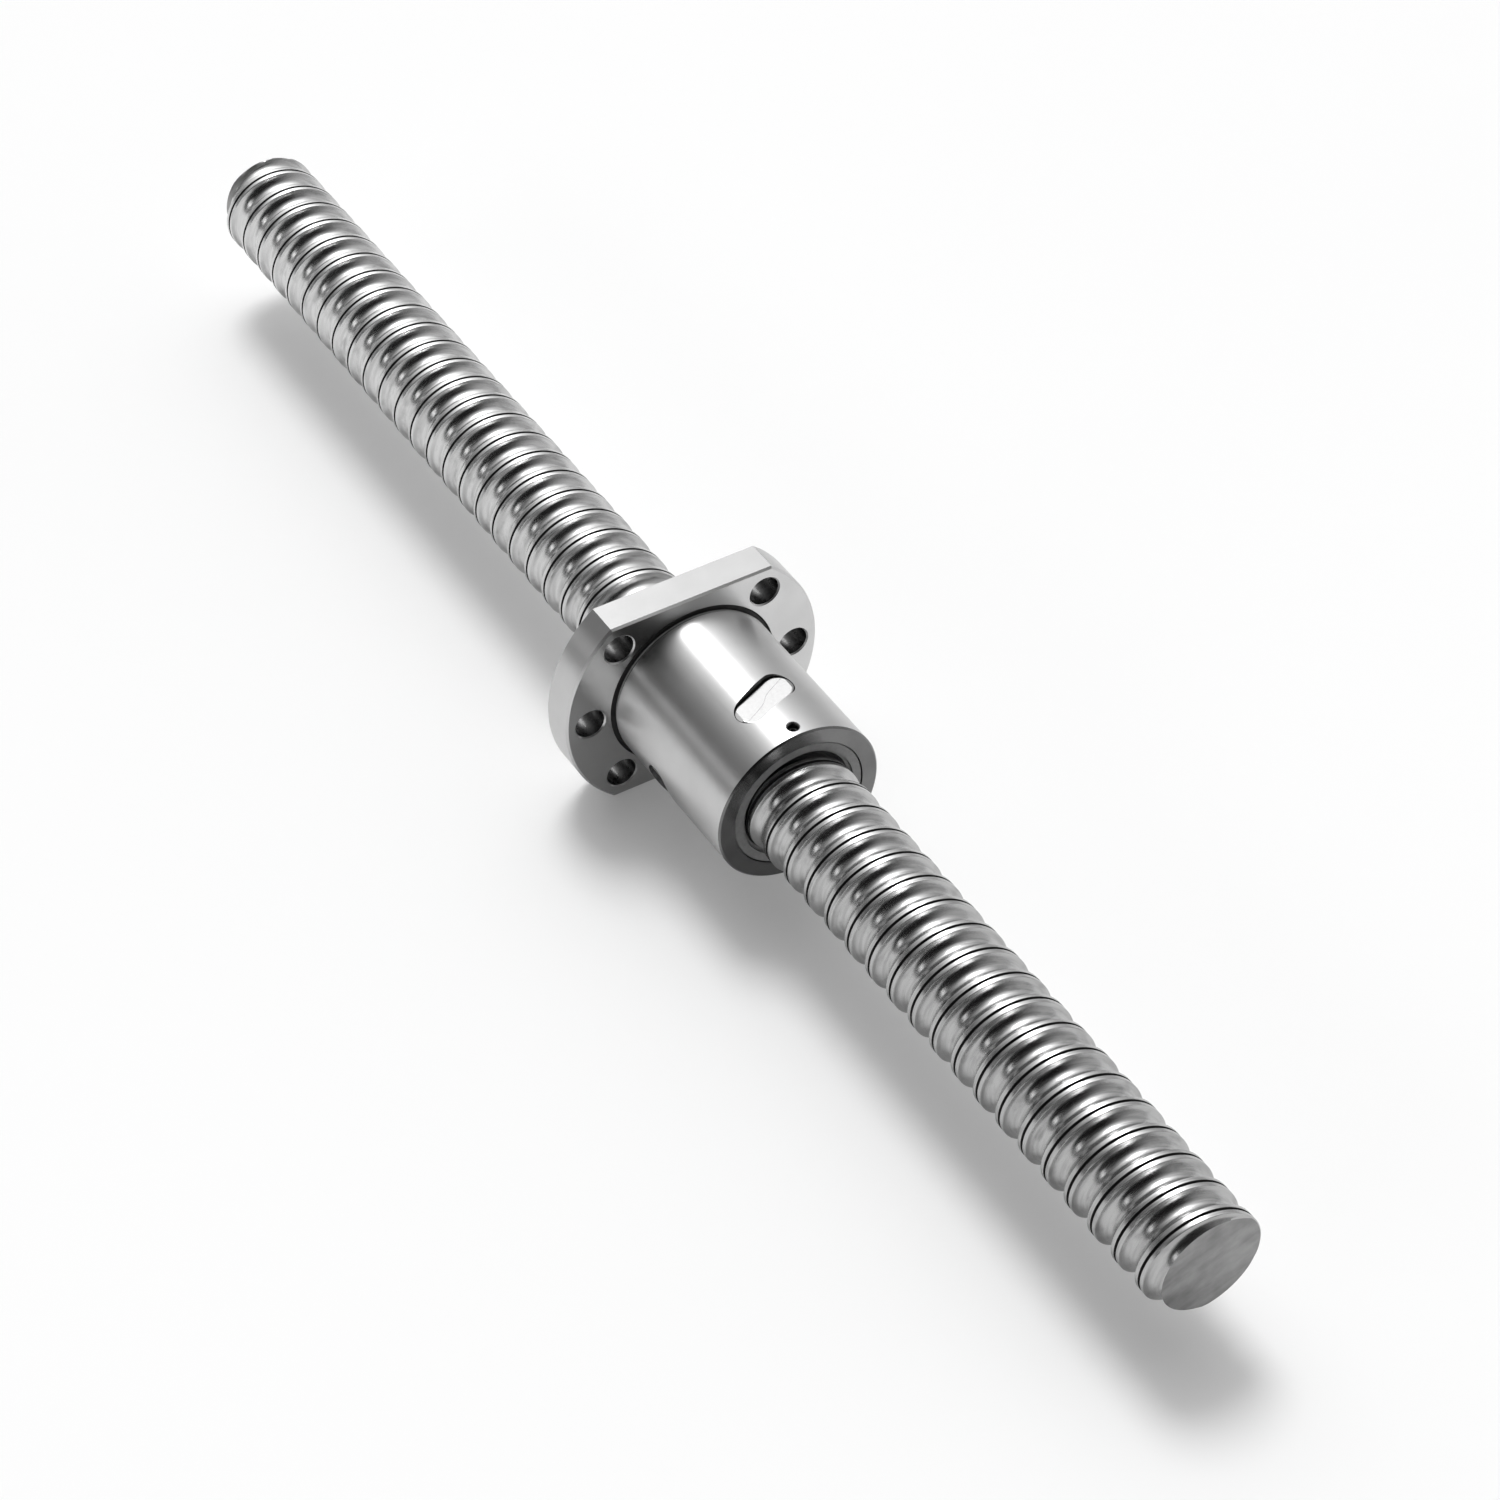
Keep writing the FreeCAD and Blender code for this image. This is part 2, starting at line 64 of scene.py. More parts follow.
# How far two places in the meshes may be apart and still count as one, in millimetres
TOUCH = 0.15
FLUSH = 0.02
ON_CUT = 0.001
CUT_SNAP = 0.0001
WELD_DIGITS = 4

# Least share of a direction along an axis, for a face that looks that way
SQUARE_TO_SHAFT = 0.9
LEVEL = 0.999
ALONG_SHAFT = 0.3  # most share along X, for a face that runs along the shaft

# How finely the shaft and the inserts' lines are meshed
STEPS_PER_TURN = 64
TRACK_STEPS = 14
EDGE_STEPS = 3
CHAMFER_STEPS = 3
END_RINGS = (0.97, 0.8, 0.5, 0.2)  # as shares of the end's outline
SHARP_ANGLE = 38
LINE_STEPS = 48
LINE_SIDES = 8

# Materials of the shaft and of the nut, in the order of their slots
THREAD, SEAM, FRONT_END, REAR_END = range(4)
GROUND, FLANGE_FACE, FRONT_FACE, BORE, RELIEF, BOLT_HOLE, FLAT = range(7)

# Marks and painted shade in the materials, as noise scales per metre. Those of the thread run along it and
# across it.
STREAKS = (60, 1100, 1)
SMUDGES = (110, 450, 1)
WAVES = (150, 300, 1)
SEAM_MOTTLE = (200, 400, 1)
SAW_MARKS = (1, 50, 260)
SAW_BLOTCHES = 160.0
GRINDING_RINGS = (2600, 2600, 1)
GROUND_CLOUDS = 90.0
GRAIN = 900.0
RELIEF_SHADE_NOISE = 300.0
PAPER = 3.0
NOISE_RANGE = (0.3, 0.7)
GREY_RANGE = (0.25, 0.75)

# How the marks and the painted light and shade show
ROLLED_GREY_PAINTED_LIGHTER_AT_REAR = (0.70, 0.47)  # at the rear end and at the front end; the rear end is painted lighter, as painted light
ROLLED_ROUGHNESS = (0.23, 0.27)
SMUDGE_RANGE = (0.28, 0.5)
SMUDGE_DARK = 0.72
SCRATCH_RANGE = (0.35, 0.6)
SCRATCH_DARK = 0.80
# Painted shade: near black in the seam's crease
SEAM_PAINTED_SHADE_GREY = (0.004, 0.015)
BUMP_HEIGHT = 0.2
SAW_ANGLE = -18
SAW_MARK_SHARE = 0.6
SAW_ROUGHNESS = (0.36, 0.5)
RING_ROUGHNESS = 0.01
RELIEF_LINE_X = (-0.2, 0.1, 0.4, 0.7)
RELIEF_PAINTED_LINE_GREY = 0.45
RELIEF_SHADE_GREY = (0.02, 0.04)
PAPER_GREY = (0.925, 0.935)

# Camera, in metres, with its lens in millimetres
CAMERA_PLACE = (0.721533, -0.428011, 0.773358)
CAMERA_RIGHT = (0.521335, 0.853330, 0.006150)
CAMERA_UP = (-0.590801, 0.355726, 0.724164)
CAMERA_BACK = (0.615763, -0.381165, 0.689600)
CAMERA_REACH = 100.0
CAMERA_LENS = 99.41
CAMERA_SENSOR = 36.0

# Light: a soft key with a wide glow about it
KEY_FROM = (-0.48, 0.15, 0.864)
KEY_RADIUS = 11.0  # as seen from the part, in degrees
KEY_BRIGHTNESS = 13.0
GLOW_FROM = (-0.50, 0.21, 0.84)
GLOW_BRIGHTNESS = 2.3
GLOW_POWER = 8.0

# Studio round the part, dark on the camera's side, by the X, Y and Z of the direction to it
STUDIO_LEAST = 0.008
BACK_WALL_X = 0.53
BACK_WALL_RISE = 0.27
RIGHT_WALL_Y = (-0.04, 0.95)
RIGHT_WALL_BRIGHTNESS = 0.62
LEFT_Y = (-0.45, -0.15)
LEFT_X = (-0.6, -0.2)
LEFT_DARK = 0.26
STRIPE_Z = (0.18, 0.34, 0.36, 0.52)
HORIZON_Z = (0.06, 0.16)
STRIP_ANGLES = (15, 19, 24, 28)  # about X, from the left upward, in degrees
STRIP_X = (-0.35, -0.20, 0.30, 0.45)
STRIP_BRIGHTNESS = 2.0

# White of the floor and of the distance, to the camera and as the metal mirrors it
FLOOR_SIZE = 40.0
FLOOR_OWN_WHITE = 0.15
FLOOR_OWN_WHITE_IN_METAL = 0.04
DISTANCE_WHITE = 0.985
DISTANCE_WHITE_IN_METAL = 0.005

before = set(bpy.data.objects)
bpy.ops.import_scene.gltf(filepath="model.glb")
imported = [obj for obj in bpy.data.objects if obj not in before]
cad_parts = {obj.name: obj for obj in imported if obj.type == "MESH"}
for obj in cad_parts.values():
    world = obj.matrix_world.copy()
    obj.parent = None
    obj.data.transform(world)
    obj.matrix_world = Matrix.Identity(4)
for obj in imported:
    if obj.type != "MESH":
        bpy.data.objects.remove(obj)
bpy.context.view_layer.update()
scene = bpy.context.scene


class Graph:
    """Short way to write a node tree."""

    def __init__(self, tree):
        self.tree = tree
        tree.nodes.clear()

    def add(self, kind, links=None, **settings):
        """New node, with its settings, and with links or values for its inputs."""
        node = self.tree.nodes.new(kind)
        for key, value in settings.items():
            setattr(node, key, value)
        for key, value in (links or {}).items():
            if isinstance(value, bpy.types.NodeSocket):
                self.tree.links.new(value, node.inputs[key])
            else:
                node.inputs[key].default_value = value
        return node

    def math(self, operation, *values):
        """Output of a Math node."""
        return self.add("ShaderNodeMath", dict(enumerate(values)), operation=operation).outputs[0]

    def remap(self, value, low, high, to_low, to_high):
        """A value moved from one range to another, smoothly, and kept inside it."""
        settings = {"Value": value, "From Min": low, "From Max": high, "To Min": to_low, "To Max": to_high}
        node = self.add("ShaderNodeMapRange", settings, interpolation_type="SMOOTHSTEP")
        return node.outputs["Result"]

    def band(self, value, start, full, fade, end):
        """1 inside a band of values and 0 outside it, with soft edges."""
        rise = self.remap(value, start, full, 0.0, 1.0)
        return self.math("MULTIPLY", rise, self.remap(value, fade, end, 1.0, 0.0))

    def noise(self, vector, scale, detail=3.0):
        """Noise from 0 to 1."""
        settings = {"Vector": vector, "Scale": scale, "Detail": detail}
        return self.add("ShaderNodeTexNoise", settings).outputs["Fac"]

    def stretched_noise(self, vector, scales, detail=3.0):
        """Noise from 0 to 1, with a scale for each axis."""
        stretched = self.add("ShaderNodeMapping", {"Vector": vector, "Scale": scales})
        return self.noise(stretched.outputs["Vector"], 1.0, detail)

    def spread(self, noise, low, high):
        """A noise, moved from its usual range to another."""
        return self.remap(noise, *NOISE_RANGE, low, high)

    def grey(self, noise, low, high):
        """Grey between two levels."""
        return self.tone(self.remap(noise, *GREY_RANGE, low, high))

    def tone(self, level):
        """Grey of one level."""
        channels = {"Red": level, "Green": level, "Blue": level}
        return self.add("ShaderNodeCombineColor", channels).outputs["Color"]

    def bump(self, height, strength):
        """Normal of a surface with small heights."""
        settings = {"Strength": strength, "Distance": BUMP_HEIGHT * MM, "Height": height}
        return self.add("ShaderNodeBump", settings).outputs["Normal"]

    def place(self):
        """Place on the object, in metres."""
        return self.add("ShaderNodeTexCoord").outputs["Object"]

    def thread(self):
        """Place on the shaft, along the thread and across it, in metres."""
        return self.add("ShaderNodeUVMap", uv_map="thread").outputs["UV"]

    def parts(self, vector):
        """X, Y and Z of a vector."""
        return self.add("ShaderNodeSeparateXYZ", {"Vector": vector}).outputs

    def rays(self):
        """Whether a ray comes from the camera, and whether it comes by way of a mirror or a lens."""
        ray = self.add("ShaderNodeLightPath").outputs
        mirrored = self.math("MAXIMUM", ray["Is Glossy Ray"], ray["Is Transmission Ray"])
        return ray["Is Camera Ray"], mirrored


def new_material(name, settings):
    """Material of one shader, with its constant inputs set."""
    material = bpy.data.materials.new(name)
    material.use_nodes = True
    graph = Graph(material.node_tree)
    shader = graph.add("ShaderNodeBsdfPrincipled", settings)
    graph.add("ShaderNodeOutputMaterial", {"Surface": shader.outputs["BSDF"]})
    return material, graph, shader


def connect(graph, shader, links):
    """Feed the shader's inputs that vary over the surface."""
    for key, socket in links.items():
        graph.tree.links.new(socket, shader.inputs[key])


def rolled_steel():
    """Bright rolled steel, with streaks and smudges that run along the thread, and painted light that makes
    it lighter towards the rear end.
    """
    material, graph, shader = new_material("rolled_steel", {"Metallic": 1.0})
    thread = graph.thread()
    streaks = graph.stretched_noise(thread, STREAKS)
    blotches = graph.stretched_noise(thread, SMUDGES, 4.0)
    waves = graph.stretched_noise(thread, WAVES, 2.0)
    along = graph.parts(graph.place())[0]
    # Painted light: the grey rises from the front end to the rear end, where the shaft looks brighter
    grey_painted_lighter_at_rear = graph.remap(along, SHAFT_REAR_X * MM, SHAFT_FRONT_X * MM, *ROLLED_GREY_PAINTED_LIGHTER_AT_REAR)
    smudges = graph.remap(blotches, *SMUDGE_RANGE, SMUDGE_DARK, 1.0)
    scratches = graph.remap(streaks, *SCRATCH_RANGE, SCRATCH_DARK, 1.0)
    colour = graph.tone(graph.math("MULTIPLY", graph.math("MULTIPLY", grey_painted_lighter_at_rear, smudges), scratches))
    roughness = graph.spread(streaks, *ROLLED_ROUGHNESS)
    normal = graph.bump(waves, 0.12)
    connect(graph, shader, {"Base Color": colour, "Roughness": roughness, "Normal": normal})
    return material


def seam_painted_shade():
    """Line that rolling leaves in the middle of the land, painted near black as painted shade in its crease.
    """
    settings = {"Metallic": 0.0, "Roughness": 0.7, "Specular IOR Level": 0.1}
    material, graph, shader = new_material("rolled_seam_painted_shade", settings)
    mottle = graph.stretched_noise(graph.thread(), SEAM_MOTTLE)
    # Painted shade: the seam stays near black under any light
    connect(graph, shader, {"Base Color": graph.grey(mottle, *SEAM_PAINTED_SHADE_GREY)})
    return material


def sawn_steel(name, dark, light):
    """Cut end with slanting saw marks."""
    material, graph, shader = new_material(name, {"Metallic": 1.0})
    place = graph.place()
    turned = graph.add("ShaderNodeMapping", {"Vector": place, "Rotation": (math.radians(SAW_ANGLE), 0, 0)})
    marks = graph.stretched_noise(turned.outputs["Vector"], SAW_MARKS, 5.0)
    blotches = graph.noise(place, SAW_BLOTCHES, 4.0)
    mixed = graph.math("MULTIPLY_ADD", marks, SAW_MARK_SHARE,
                       graph.math("MULTIPLY", blotches, 1 - SAW_MARK_SHARE))
    colour = graph.grey(mixed, dark, light)
    roughness = graph.spread(marks, *SAW_ROUGHNESS)
    normal = graph.bump(marks, 0.1)
    connect(graph, shader, {"Base Color": colour, "Roughness": roughness, "Normal": normal})
    return material


def ground_steel(name, dark, light, rough):
    """Satin steel with the faint rings that turning and grinding leave."""
    settings = {"Metallic": 1.0, "Anisotropic": 0.9, "Anisotropic Rotation": 0.25}
    material, graph, shader = new_material(name, settings)
    place = graph.place()
    x, y, z = graph.parts(place)
    squares = graph.math("ADD", graph.math("MULTIPLY", y, y), graph.math("MULTIPLY", z, z))
    radius = graph.math("SQRT", squares)
    section = graph.add("ShaderNodeCombineXYZ", {"X": x, "Y": radius}).outputs["Vector"]
    rings = graph.stretched_noise(section, GRINDING_RINGS, 2.0)
    colour = graph.grey(graph.noise(place, GROUND_CLOUDS), dark, light)
    roughness = graph.spread(rings, rough - RING_ROUGHNESS, rough + RING_ROUGHNESS)
    around = graph.add("ShaderNodeTangent", direction_type="RADIAL", axis="X").outputs["Tangent"]
    connect(graph, shader, {"Base Color": colour, "Roughness": roughness, "Tangent": around})
    return material


def plain_metal(name, dark, light, rough, metallic=1.0, spread=0.15):
    """Metal or plastic with a slight mottle."""
    material, graph, shader = new_material(name, {"Metallic": metallic})
    grain = graph.noise(graph.place(), GRAIN)
    colour = graph.grey(grain, dark, light)
    roughness = graph.spread(grain, rough * (1 - spread), rough * (1 + spread))
    connect(graph, shader, {"Base Color": colour, "Roughness": roughness})
    return material


def relief_painted_light():
    """Groove in the nut's corner, painted: painted shade dark at both edges, with a painted grey line of
    light between them.
    """
    material, graph, shader = new_material("relief_painted_light", {"Metallic": 0.0, "Roughness": 0.6})
    place = graph.place()
    along = graph.math("DIVIDE", graph.parts(place)[0], MM)
    line = graph.band(along, *RELIEF_LINE_X)
    # Painted shade: near-black grey at the groove's edges, with the grey line's painted light added between
    # them
    painted_shade = graph.spread(graph.noise(place, RELIEF_SHADE_NOISE), *RELIEF_SHADE_GREY)
    level = graph.math("MULTIPLY_ADD", line, RELIEF_PAINTED_LINE_GREY, painted_shade)
    connect(graph, shader, {"Base Color": graph.tone(level)})
    return material


def in_scene(name, data):
    """New object in the scene."""
    thing = bpy.data.objects.new(name, data)
    scene.collection.objects.link(thing)
    return thing


def thread_profile():
    """Section of one turn of the thread, as distances along the shaft from the track's middle and radii."""
    drop = BALL_CIRCLE_RADIUS - SHAFT_RADIUS + LAND_EDGE
    edge_u = math.sqrt((TRACK_RADIUS + LAND_EDGE) ** 2 - drop ** 2)
    wall = math.atan2(edge_u, drop)
    half = []
    for k in range(TRACK_STEPS // 2 + 1):
        angle = wall * k / (TRACK_STEPS // 2)
        half.append((TRACK_RADIUS * math.sin(angle), BALL_CIRCLE_RADIUS - TRACK_RADIUS * math.cos(angle)))
    for k in range(1, EDGE_STEPS + 1):
        angle = wall * (1 - k / EDGE_STEPS)
        half.append((edge_u - LAND_EDGE * math.sin(angle),
                     SHAFT_RADIUS - LAND_EDGE + LAND_EDGE * math.cos(angle)))
    half.append((LEAD / 2 - SEAM_WIDTH / 2, SHAFT_RADIUS))
    whole = half + [(LEAD / 2, SHAFT_RADIUS - SEAM_DEPTH)] + [(LEAD - u, r) for u, r in half[::-1]]
    return np.array(whole)


def thread_radius(profile, x, degrees):
    """Radius of the shaft's surface at a place along it and an angle about it."""
    u = (x - TRACK_TOP_X + LEAD * (degrees - 90) / 360) % LEAD
    return np.interp(u, profile[:, 0], profile[:, 1])


def screw_mesh(profile):
    """Endless thread, longer than the shaft at both ends, with its seam and its own coordinates."""
    columns = len(profile) - 1
    first = math.floor((SHAFT_REAR_X - TRACK_TOP_X) / LEAD) - 1
    turns = math.ceil((SHAFT_FRONT_X - SHAFT_REAR_X) / LEAD) + 3
    rows = turns * STEPS_PER_TURN
    turn = first + np.arange(rows + STEPS_PER_TURN + 1) / STEPS_PER_TURN
    angle = math.pi / 2 - 2 * math.pi * turn[:, None]
    u, r = profile[:columns, 0], profile[:columns, 1]
    x = TRACK_TOP_X + LEAD * turn[:, None] + u
    points = np.stack([x, r * np.cos(angle), r * np.sin(angle)], axis=2).reshape(-1, 3) * MM
    row, column = np.meshgrid(np.arange(rows), np.arange(columns), indexing="ij")
    wraps = column == columns - 1
    here = row * columns + column
    after = np.where(wraps, (row + STEPS_PER_TURN) * columns, here + 1)
    faces = np.stack([here, after, after + columns, here + columns], axis=2).reshape(-1, 4)
    mesh = bpy.data.meshes.new("screw_thread")
    mesh.from_pydata(points.tolist(), [], faces.tolist())
    length = 2 * math.pi * SHAFT_RADIUS * MM
    start = (first + row / STEPS_PER_TURN) * length
    end = (first + (row + 1) / STEPS_PER_TURN) * length
    low = profile[column, 0] * MM
    high = profile[column + 1, 0] * MM
    corners = np.stack([start, low, start, high, end, high, end, low], axis=2)
    mesh.uv_layers.new(name="thread").data.foreach_set("uv", corners.astype(np.float32).ravel())
    middle = (profile[column, 0] + profile[column + 1, 0]) / 2
    in_seam = np.abs(middle - LEAD / 2) < SEAM_WIDTH / 2
    kinds = np.where(in_seam, SEAM, THREAD).astype(np.int32)
    mesh.polygons.foreach_set("material_index", kinds.ravel())
    return mesh


def close_end(bm, rings, x_of_cut, kind):
    """Close one cut end of the thread by rings of points, given as functions of the angle, and a centre."""
    def on_cut(vert):
        return abs(vert.co.x - x_of_cut * MM) < ON_CUT * MM

    edge = [e for e in bm.edges if e.is_boundary and all(on_cut(v) for v in e.verts)]
    verts = sorted({v for e in edge for v in e.verts}, key=lambda v: math.atan2(v.co.z, v.co.y))
    angles = np.array([math.atan2(v.co.z, v.co.y) for v in verts])
    outward = 1 if x_of_cut > 0 else -1
    count = len(verts)
    for x, radius, ring_kind in rings:
        radii = radius(np.degrees(angles)) * MM
        ring = [bm.verts.new((x * MM, r * math.cos(a), r * math.sin(a))) for r, a in zip(radii, angles)]
        for k in range(count):
            quad = [verts[k], verts[(k + 1) % count], ring[(k + 1) % count], ring[k]]
            face = bm.faces.new(quad[::outward])
            face.material_index = ring_kind
        verts = ring
    centre = bm.verts.new((rings[-1][0] * MM, 0, 0))
    for k in range(count):
        face = bm.faces.new([verts[k], verts[(k + 1) % count], centre][::outward])
        face.material_index = kind


def rings_inside(x, outline, kind):
    """Rings on a flat end, as shares of its outline."""
    return [(x, lambda degrees, share=share: share * outline(degrees), kind) for share in END_RINGS]


def build_shaft():
    """The shaft: rolled thread, a plain cut front end and a chamfered rear end."""
    profile = thread_profile()
    mesh = screw_mesh(profile)
    bm = bmesh.new()
    bm.from_mesh(mesh)
    front_cut = SHAFT_FRONT_X - SHAFT_FRONT_EDGE
    rear_cut = SHAFT_REAR_X + SHAFT_REAR_CHAMFER
    for cut, normal in ((front_cut, 1), (rear_cut, -1)):
        geometry = bm.verts[:] + bm.edges[:] + bm.faces[:]
        bmesh.ops.bisect_plane(bm, geom=geometry, dist=CUT_SNAP * MM, plane_co=(cut * MM, 0, 0),
                               plane_no=(normal, 0, 0), clear_outer=True)

    def limited(x, most):
        return lambda degrees: np.minimum(thread_radius(profile, x, degrees), most)

    outline = limited(SHAFT_FRONT_X, SHAFT_RADIUS - SHAFT_FRONT_EDGE)
    front = [(SHAFT_FRONT_X, outline, THREAD)]
    front += rings_inside(SHAFT_FRONT_X, outline, FRONT_END)
    rear = []
    for k in reversed(range(CHAMFER_STEPS)):
        x = SHAFT_REAR_X + SHAFT_REAR_CHAMFER * k / CHAMFER_STEPS
        outline = limited(x, SHAFT_RADIUS - SHAFT_REAR_CHAMFER + x - SHAFT_REAR_X)
        rear.append((x, outline, REAR_END))
    rear += rings_inside(SHAFT_REAR_X, outline, REAR_END)
    close_end(bm, front, front_cut, FRONT_END)
    close_end(bm, rear, rear_cut, REAR_END)
    bm.to_mesh(mesh)
    bm.free()
    mesh.shade_smooth()
    mesh.set_sharp_from_angle(angle=math.radians(SHARP_ANGLE))
    for material in (
        rolled_steel(),
        seam_painted_shade(),
        sawn_steel("sawn_end", dark=0.17, light=0.38),
        sawn_steel("turned_end", dark=0.31, light=0.45),
    ):
        mesh.materials.append(material)
    shaft = in_scene("screw_thread", mesh)
    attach(shaft, "shaft")
    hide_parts("screw_shaft")


def triangles_of(mesh):
    """Corners of a mesh of triangles, in millimetres, and the normals at them."""
    count = len(mesh.polygons)
    index = np.empty(3 * count, np.int32)
    places = np.empty(3 * len(mesh.vertices), np.float32)
    normals = np.empty(9 * count, np.float32)
    mesh.polygons.foreach_get("vertices", index)
    mesh.vertices.foreach_get("co", places)
    mesh.corner_normals.foreach_get("vector", normals)
    corners = places.astype(float).reshape(-1, 3)[index] / MM
    return corners.reshape(-1, 3, 3), normals.reshape(-1, 3, 3)


def directions(triangles):
    """Unit normal of each triangle."""
    normal = np.cross(triangles[:, 1] - triangles[:, 0], triangles[:, 2] - triangles[:, 0])
    return normal / np.maximum(np.linalg.norm(normal, axis=1), 1e-12)[:, None]


def facing(triangles, wanted):
    """The triangles, turned over where they don't face the wanted way."""
    wrong = (directions(triangles) * wanted).sum(axis=1) < 0
    triangles[wrong] = triangles[wrong][:, ::-1]
    return triangles


def strip_between(upper, lower, turn):
    """Triangles between two rows of points that share their ends and run the same way."""
    i = 0
    j = 0
    strip = []
    while i < len(upper) - 1 or j < len(lower) - 1:
        ahead = j == len(lower) - 1 or (i < len(upper) - 1 and turn(upper[i + 1]) <= turn(lower[j + 1]))
        apex = upper[i + 1] if ahead else lower[j + 1]
        strip.append((upper[i], lower[j], apex))
        i += ahead
        j += not ahead
    return [three for three in strip if len(set(three)) == 3]


def notch_cover(notch, bolt_angle):
    """Triangles and normals that close a notch: the body's surface, and the wall of a pocket beside it."""
    points = [tuple(point) for point in np.round(notch.reshape(-1, 3), WELD_DIGITS).tolist()]
    sides = Counter(frozenset((points[k], points[k - k % 3 + (k + 1) % 3])) for k in range(len(points)))
    rim = [tuple(side) for side, uses in sides.items() if uses == 1]
    pocket_turns = (INSERT_COUNT - 1) / INSERT_COUNT
    pocket_angle = math.pi / 2 + 2 * math.pi * pocket_turns
    out = np.array((0, math.cos(pocket_angle), math.sin(pocket_angle)))
    pocket_x = FRONT_INSERT_X - LEAD * (INSERT_COUNT - 1 + pocket_turns)
    pocket_middle = np.array((pocket_x, 0, 0)) + NUT_RADIUS * out

    def sunk(point):
        return math.hypot(point[1], point[2]) < NUT_RADIUS - FLUSH

    def raised(point):
        rise = np.dot(point, out)
        climb = math.sqrt(rise ** 2 + NUT_RADIUS ** 2 - point[1] ** 2 - point[2] ** 2) - rise
        return tuple((np.array(point) + climb * out).tolist())

    def turn(point):
        return (math.atan2(point[2], point[1]) - bolt_angle + math.pi) % (2 * math.pi)

    around = {point for side in rim for point in side}
    at_end = {point for point in around if point[0] > NOTCH_END_X - FLUSH}
    on_body = sorted((point for point in around - at_end if not sunk(point)), key=turn)
    far_side = [point for point in at_end if not sunk(point)]
    far_side += [raised(point) for point in around - at_end if sunk(point)]
    far_side.sort(key=turn)
    skin = np.array(strip_between(far_side, [far_side[0]] + on_body + [far_side[-1]], turn))
    skin = facing(skin, skin.mean(axis=1) * (0, 1, 1))
    skin_normals = skin * (0, 1, 1) / NUT_RADIUS
    wall = [three for a, b in rim if sunk(a) and sunk(b)
            for three in ((a, b, raised(b)), (a, raised(b), raised(a)))]
    if not wall:
        return skin, skin_normals
    wall = np.array(wall)
    wall = facing(wall, pocket_middle - wall.mean(axis=1))
    wall_normals = np.repeat(directions(wall)[:, None], 3, axis=1)
    return np.concatenate([skin, wall]), np.concatenate([skin_normals, wall_normals])


def fill_notches(corners, normals):
    """The body made plain beside the bolt holes, where the solid's holes run out into shallow notches."""
    x = corners[:, :, 0]
    backward = directions(corners)[:, 0] < 0
    reach = BOLT_HOLE_RADIUS + BOLT_HOLE_EDGE + x
    near = (x > RELIEF_WIDTH + TOUCH) & (x < NOTCH_END_X + FLUSH)
    kept = np.ones(len(corners), bool)
    covers = []
    for angle in np.radians(BOLT_ANGLES):
        to_bolt = np.hypot(corners[:, :, 1] - BOLT_CIRCLE_RADIUS * math.cos(angle),
                           corners[:, :, 2] - BOLT_CIRCLE_RADIUS * math.sin(angle))
        cone = np.all(near & (np.abs(to_bolt - reach) < FLUSH), axis=1)
        end = np.all((np.abs(x - NOTCH_END_X) < FLUSH) & (to_bolt < reach + FLUSH), axis=1) & backward
        notch = cone | end
        if notch.any():
            kept &= ~notch
            covers.append(notch_cover(corners[notch], angle))
    corners = np.concatenate([corners[kept]] + [cover[0] for cover in covers])
    normals = np.concatenate([normals[kept]] + [cover[1] for cover in covers])
    return corners, normals


def surfaces_of_nut(centre, normal):
    """Which of the nut's materials each face takes, from its middle and its direction."""
    x, y, z = centre.T
    radius = np.hypot(y, z)
    angles = np.radians(BOLT_ANGLES)
    to_bolt = np.hypot(y[:, None] - BOLT_CIRCLE_RADIUS * np.cos(angles),
                       z[:, None] - BOLT_CIRCLE_RADIUS * np.sin(angles)).min(axis=1)
    kind = np.full(len(x), GROUND, np.int32)
    kind[(normal[:, 0] > SQUARE_TO_SHAFT) & (radius > NUT_RADIUS)] = FLANGE_FACE
    kind[x > NUT_FRONT_X - NUT_END_CHAMFER] = FRONT_FACE
    behind_chamfer = x < NUT_FRONT_X - NUT_END_CHAMFER - TOUCH
    kind[(radius < NUT_RADIUS - TOUCH) & behind_chamfer & (x > RELIEF_WIDTH)] = BORE
    kind[radius < WIPER_SEAT_RADIUS + TOUCH] = BORE
    along_relief = (x > -RELIEF_DEPTH - TOUCH) & (x < RELIEF_WIDTH + TOUCH) & (np.abs(x) > FLUSH)
    round_body = (radius > WIPER_SEAT_RADIUS + TOUCH) & (radius < NUT_RADIUS + RELIEF_WIDTH)
    kind[along_relief & round_body] = RELIEF
    kind[(to_bolt < BOLT_HOLE_RADIUS + TOUCH) & (np.abs(normal[:, 0]) < ALONG_SHAFT)] = BOLT_HOLE
    kind[(np.abs(normal[:, 2]) > LEVEL) & (np.abs(z) > FLAT_Z - TOUCH)] = FLAT
    return kind


